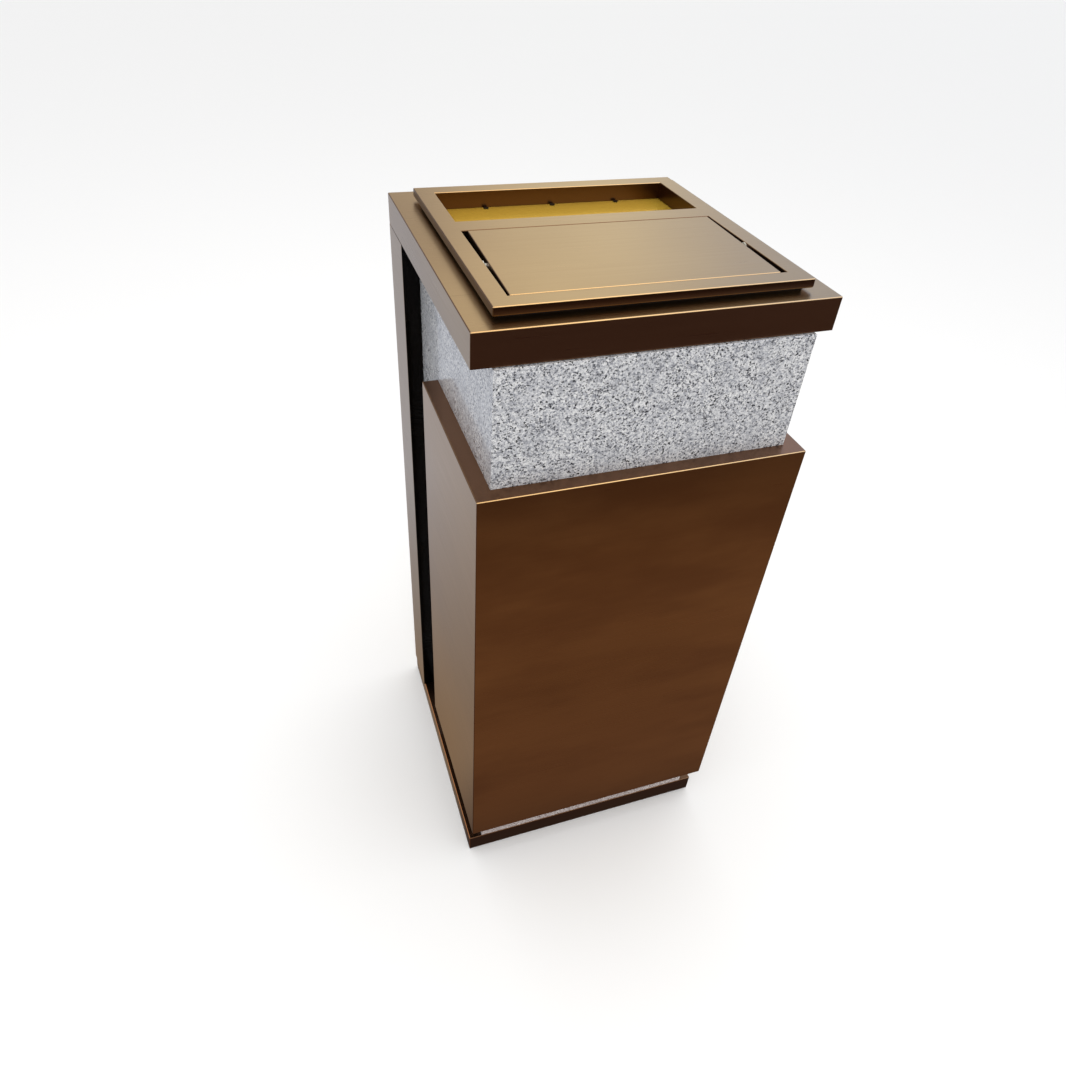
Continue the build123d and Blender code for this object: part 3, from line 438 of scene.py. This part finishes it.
def dress_cad_nodes():
    """Gives every CAD node its own material, or that of its slot in the record."""
    slots = {row["node"]: row["material_slot"] for row in frame["record"]["subparts"]}
    for name, obj in frame["nodes"].items():
        chosen = NODE_MATERIALS.get(name, MATERIALS[slots[name]])
        for slot in obj.material_slots:
            slot.material = chosen


# ------------------------------------------------------------------ room, lights, camera

WHITE = (1.0, 1.0, 1.0, 1)
FLOOR_SIZE = 28.0
FLOOR_COLOUR = (0.9, 0.9, 0.9, 1)
FRONT_BLEND = 0.25        # how far forward the floor's front and rear looks blend
IN_FRONT = [              # how the floor in front looks in the metal, by distance forward
    (0.0, (0.054, 0.036, 0.036)),
    (0.20, (0.054, 0.036, 0.036)),
    (0.30, (0.225, 0.125, 0.082)),
    (0.66, (0.290, 0.170, 0.108)),
    (1.00, (0.180, 0.090, 0.050)),
    (1.18, (0.066, 0.040, 0.034)),
]
BEHIND = [                # and the floor to the side and behind, by distance out
    (0.22, (0.34, 0.245, 0.16)),
    (0.45, (0.38, 0.345, 0.33)),
    (0.95, (0.58, 0.61, 0.69)),
]
BY_HEIGHT = [             # the room in the metal, by how far up a reflection points
    (0.0, (0.45, 0.42, 0.40)),
    (0.35, (1.00, 1.05, 1.10)),
    (0.62, (1.50, 1.68, 1.90)),
    (1.0, (1.20, 1.20, 1.20)),
]
ACROSS = [                # and by how far it points to the right
    (-1.0, (0.55, 0.58, 0.62)),
    (0.0, (0.62, 0.54, 0.46)),
    (0.20, (0.73, 0.65, 0.54)),
    (0.25, (1.06, 0.94, 0.74)),
    (0.32, (1.20, 1.12, 0.87)),
    (0.41, (1.27, 1.20, 0.97)),
    (0.48, (0.96, 0.96, 0.93)),
    (0.54, (0.70, 0.75, 0.90)),
    (0.70, (0.52, 0.62, 0.84)),
    (1.0, (0.52, 0.62, 0.84)),
]


def floor():
    """Plain pale floor, except that reflections see it glow in other tones, browner in front."""
    bpy.ops.mesh.primitive_plane_add(size=FLOOR_SIZE)
    plane = bpy.context.object
    plane.name = "floor"
    g = Surface("floor")
    g.set(Base_Color=FLOOR_COLOUR, Roughness=0.7, Specular_IOR_Level=0.1)
    along = g.split(g.place)[1]
    length = g.node("ShaderNodeVectorMath", operation="LENGTH")
    g.feed(length.inputs[0], g.place)
    front = g.ramp(g.times(along, -1.0), IN_FRONT)
    back = g.ramp(length.outputs["Value"], BEHIND)
    glow = g.node("ShaderNodeEmission")
    g.feed(glow.inputs["Color"], g.mix(g.step(along, -FRONT_BLEND, 0.0), front, back))
    choose = g.node("ShaderNodeMixShader")
    g.feed(choose.inputs[0], g.node("ShaderNodeLightPath").outputs["Is Glossy Ray"])
    g.feed(choose.inputs[1], g.shader.outputs[0])
    g.feed(choose.inputs[2], glow.outputs[0])
    g.feed(g.tree.nodes["Material Output"].inputs["Surface"], choose.outputs[0])
    plane.data.materials.append(g.material)


def world():
    """White room. Reflections see it in other tones: dim low down, and bright and warm just
    right of the middle."""
    made = bpy.data.worlds.new("room")
    bpy.context.scene.world = made
    made.use_nodes = True
    g = Nodes(made.node_tree)
    right, _, up = g.split(g.node("ShaderNodeTexCoord").outputs["Generated"])
    reflected = g.mix(1.0, g.ramp(up, BY_HEIGHT), g.ramp(right, ACROSS), "MULTIPLY")
    glossy = g.node("ShaderNodeLightPath").outputs["Is Glossy Ray"]
    seen = g.mix(glossy, WHITE, reflected)
    g.feed(g.tree.nodes["Background"].inputs["Color"], seen)


LAMP_COLOUR = (1, 0.98, 0.95)


def softbox(name, place, aim, size, power):
    """A square lamp that lights the scene but isn't seen in reflections."""
    data = bpy.data.lights.new(name, "AREA")
    data.size = size
    data.energy = power
    data.color = LAMP_COLOUR
    lamp = bpy.data.objects.new(name, data)
    bpy.context.collection.objects.link(lamp)
    lamp.location = place
    lamp.rotation_euler = (Vector(aim) - Vector(place)).to_track_quat("-Z", "Y").to_euler()
    lamp.visible_glossy = False


def lights():
    softbox("key", place=(-0.7, -1.9, 2.3), aim=(0, 0, 0.5), size=1.6, power=16)
    softbox("top", place=(0.2, 0.3, 3.0), aim=(0, 0, 0.6), size=2.0, power=18)


CAMERA_PLACE = (-0.3712, -0.8226, 1.2308)
CAMERA_TURN = (49.886, -3.1675, -18.5074)    # degrees, X then Y then Z
CAMERA_LENS = 26.555
CAMERA_NEAR, CAMERA_FAR = 0.05, 60


def camera():
    data = bpy.data.cameras.new("camera")
    data.lens = CAMERA_LENS
    data.clip_start = CAMERA_NEAR
    data.clip_end = CAMERA_FAR
    made = bpy.data.objects.new("camera", data)
    bpy.context.collection.objects.link(made)
    made.location = CAMERA_PLACE
    made.rotation_euler = Euler([math.radians(a) for a in CAMERA_TURN], "XYZ")
    bpy.context.scene.camera = made


camera()
world()
floor()
lights()
dress_cad_nodes()
bpy.context.scene.view_settings.view_transform = "Standard"
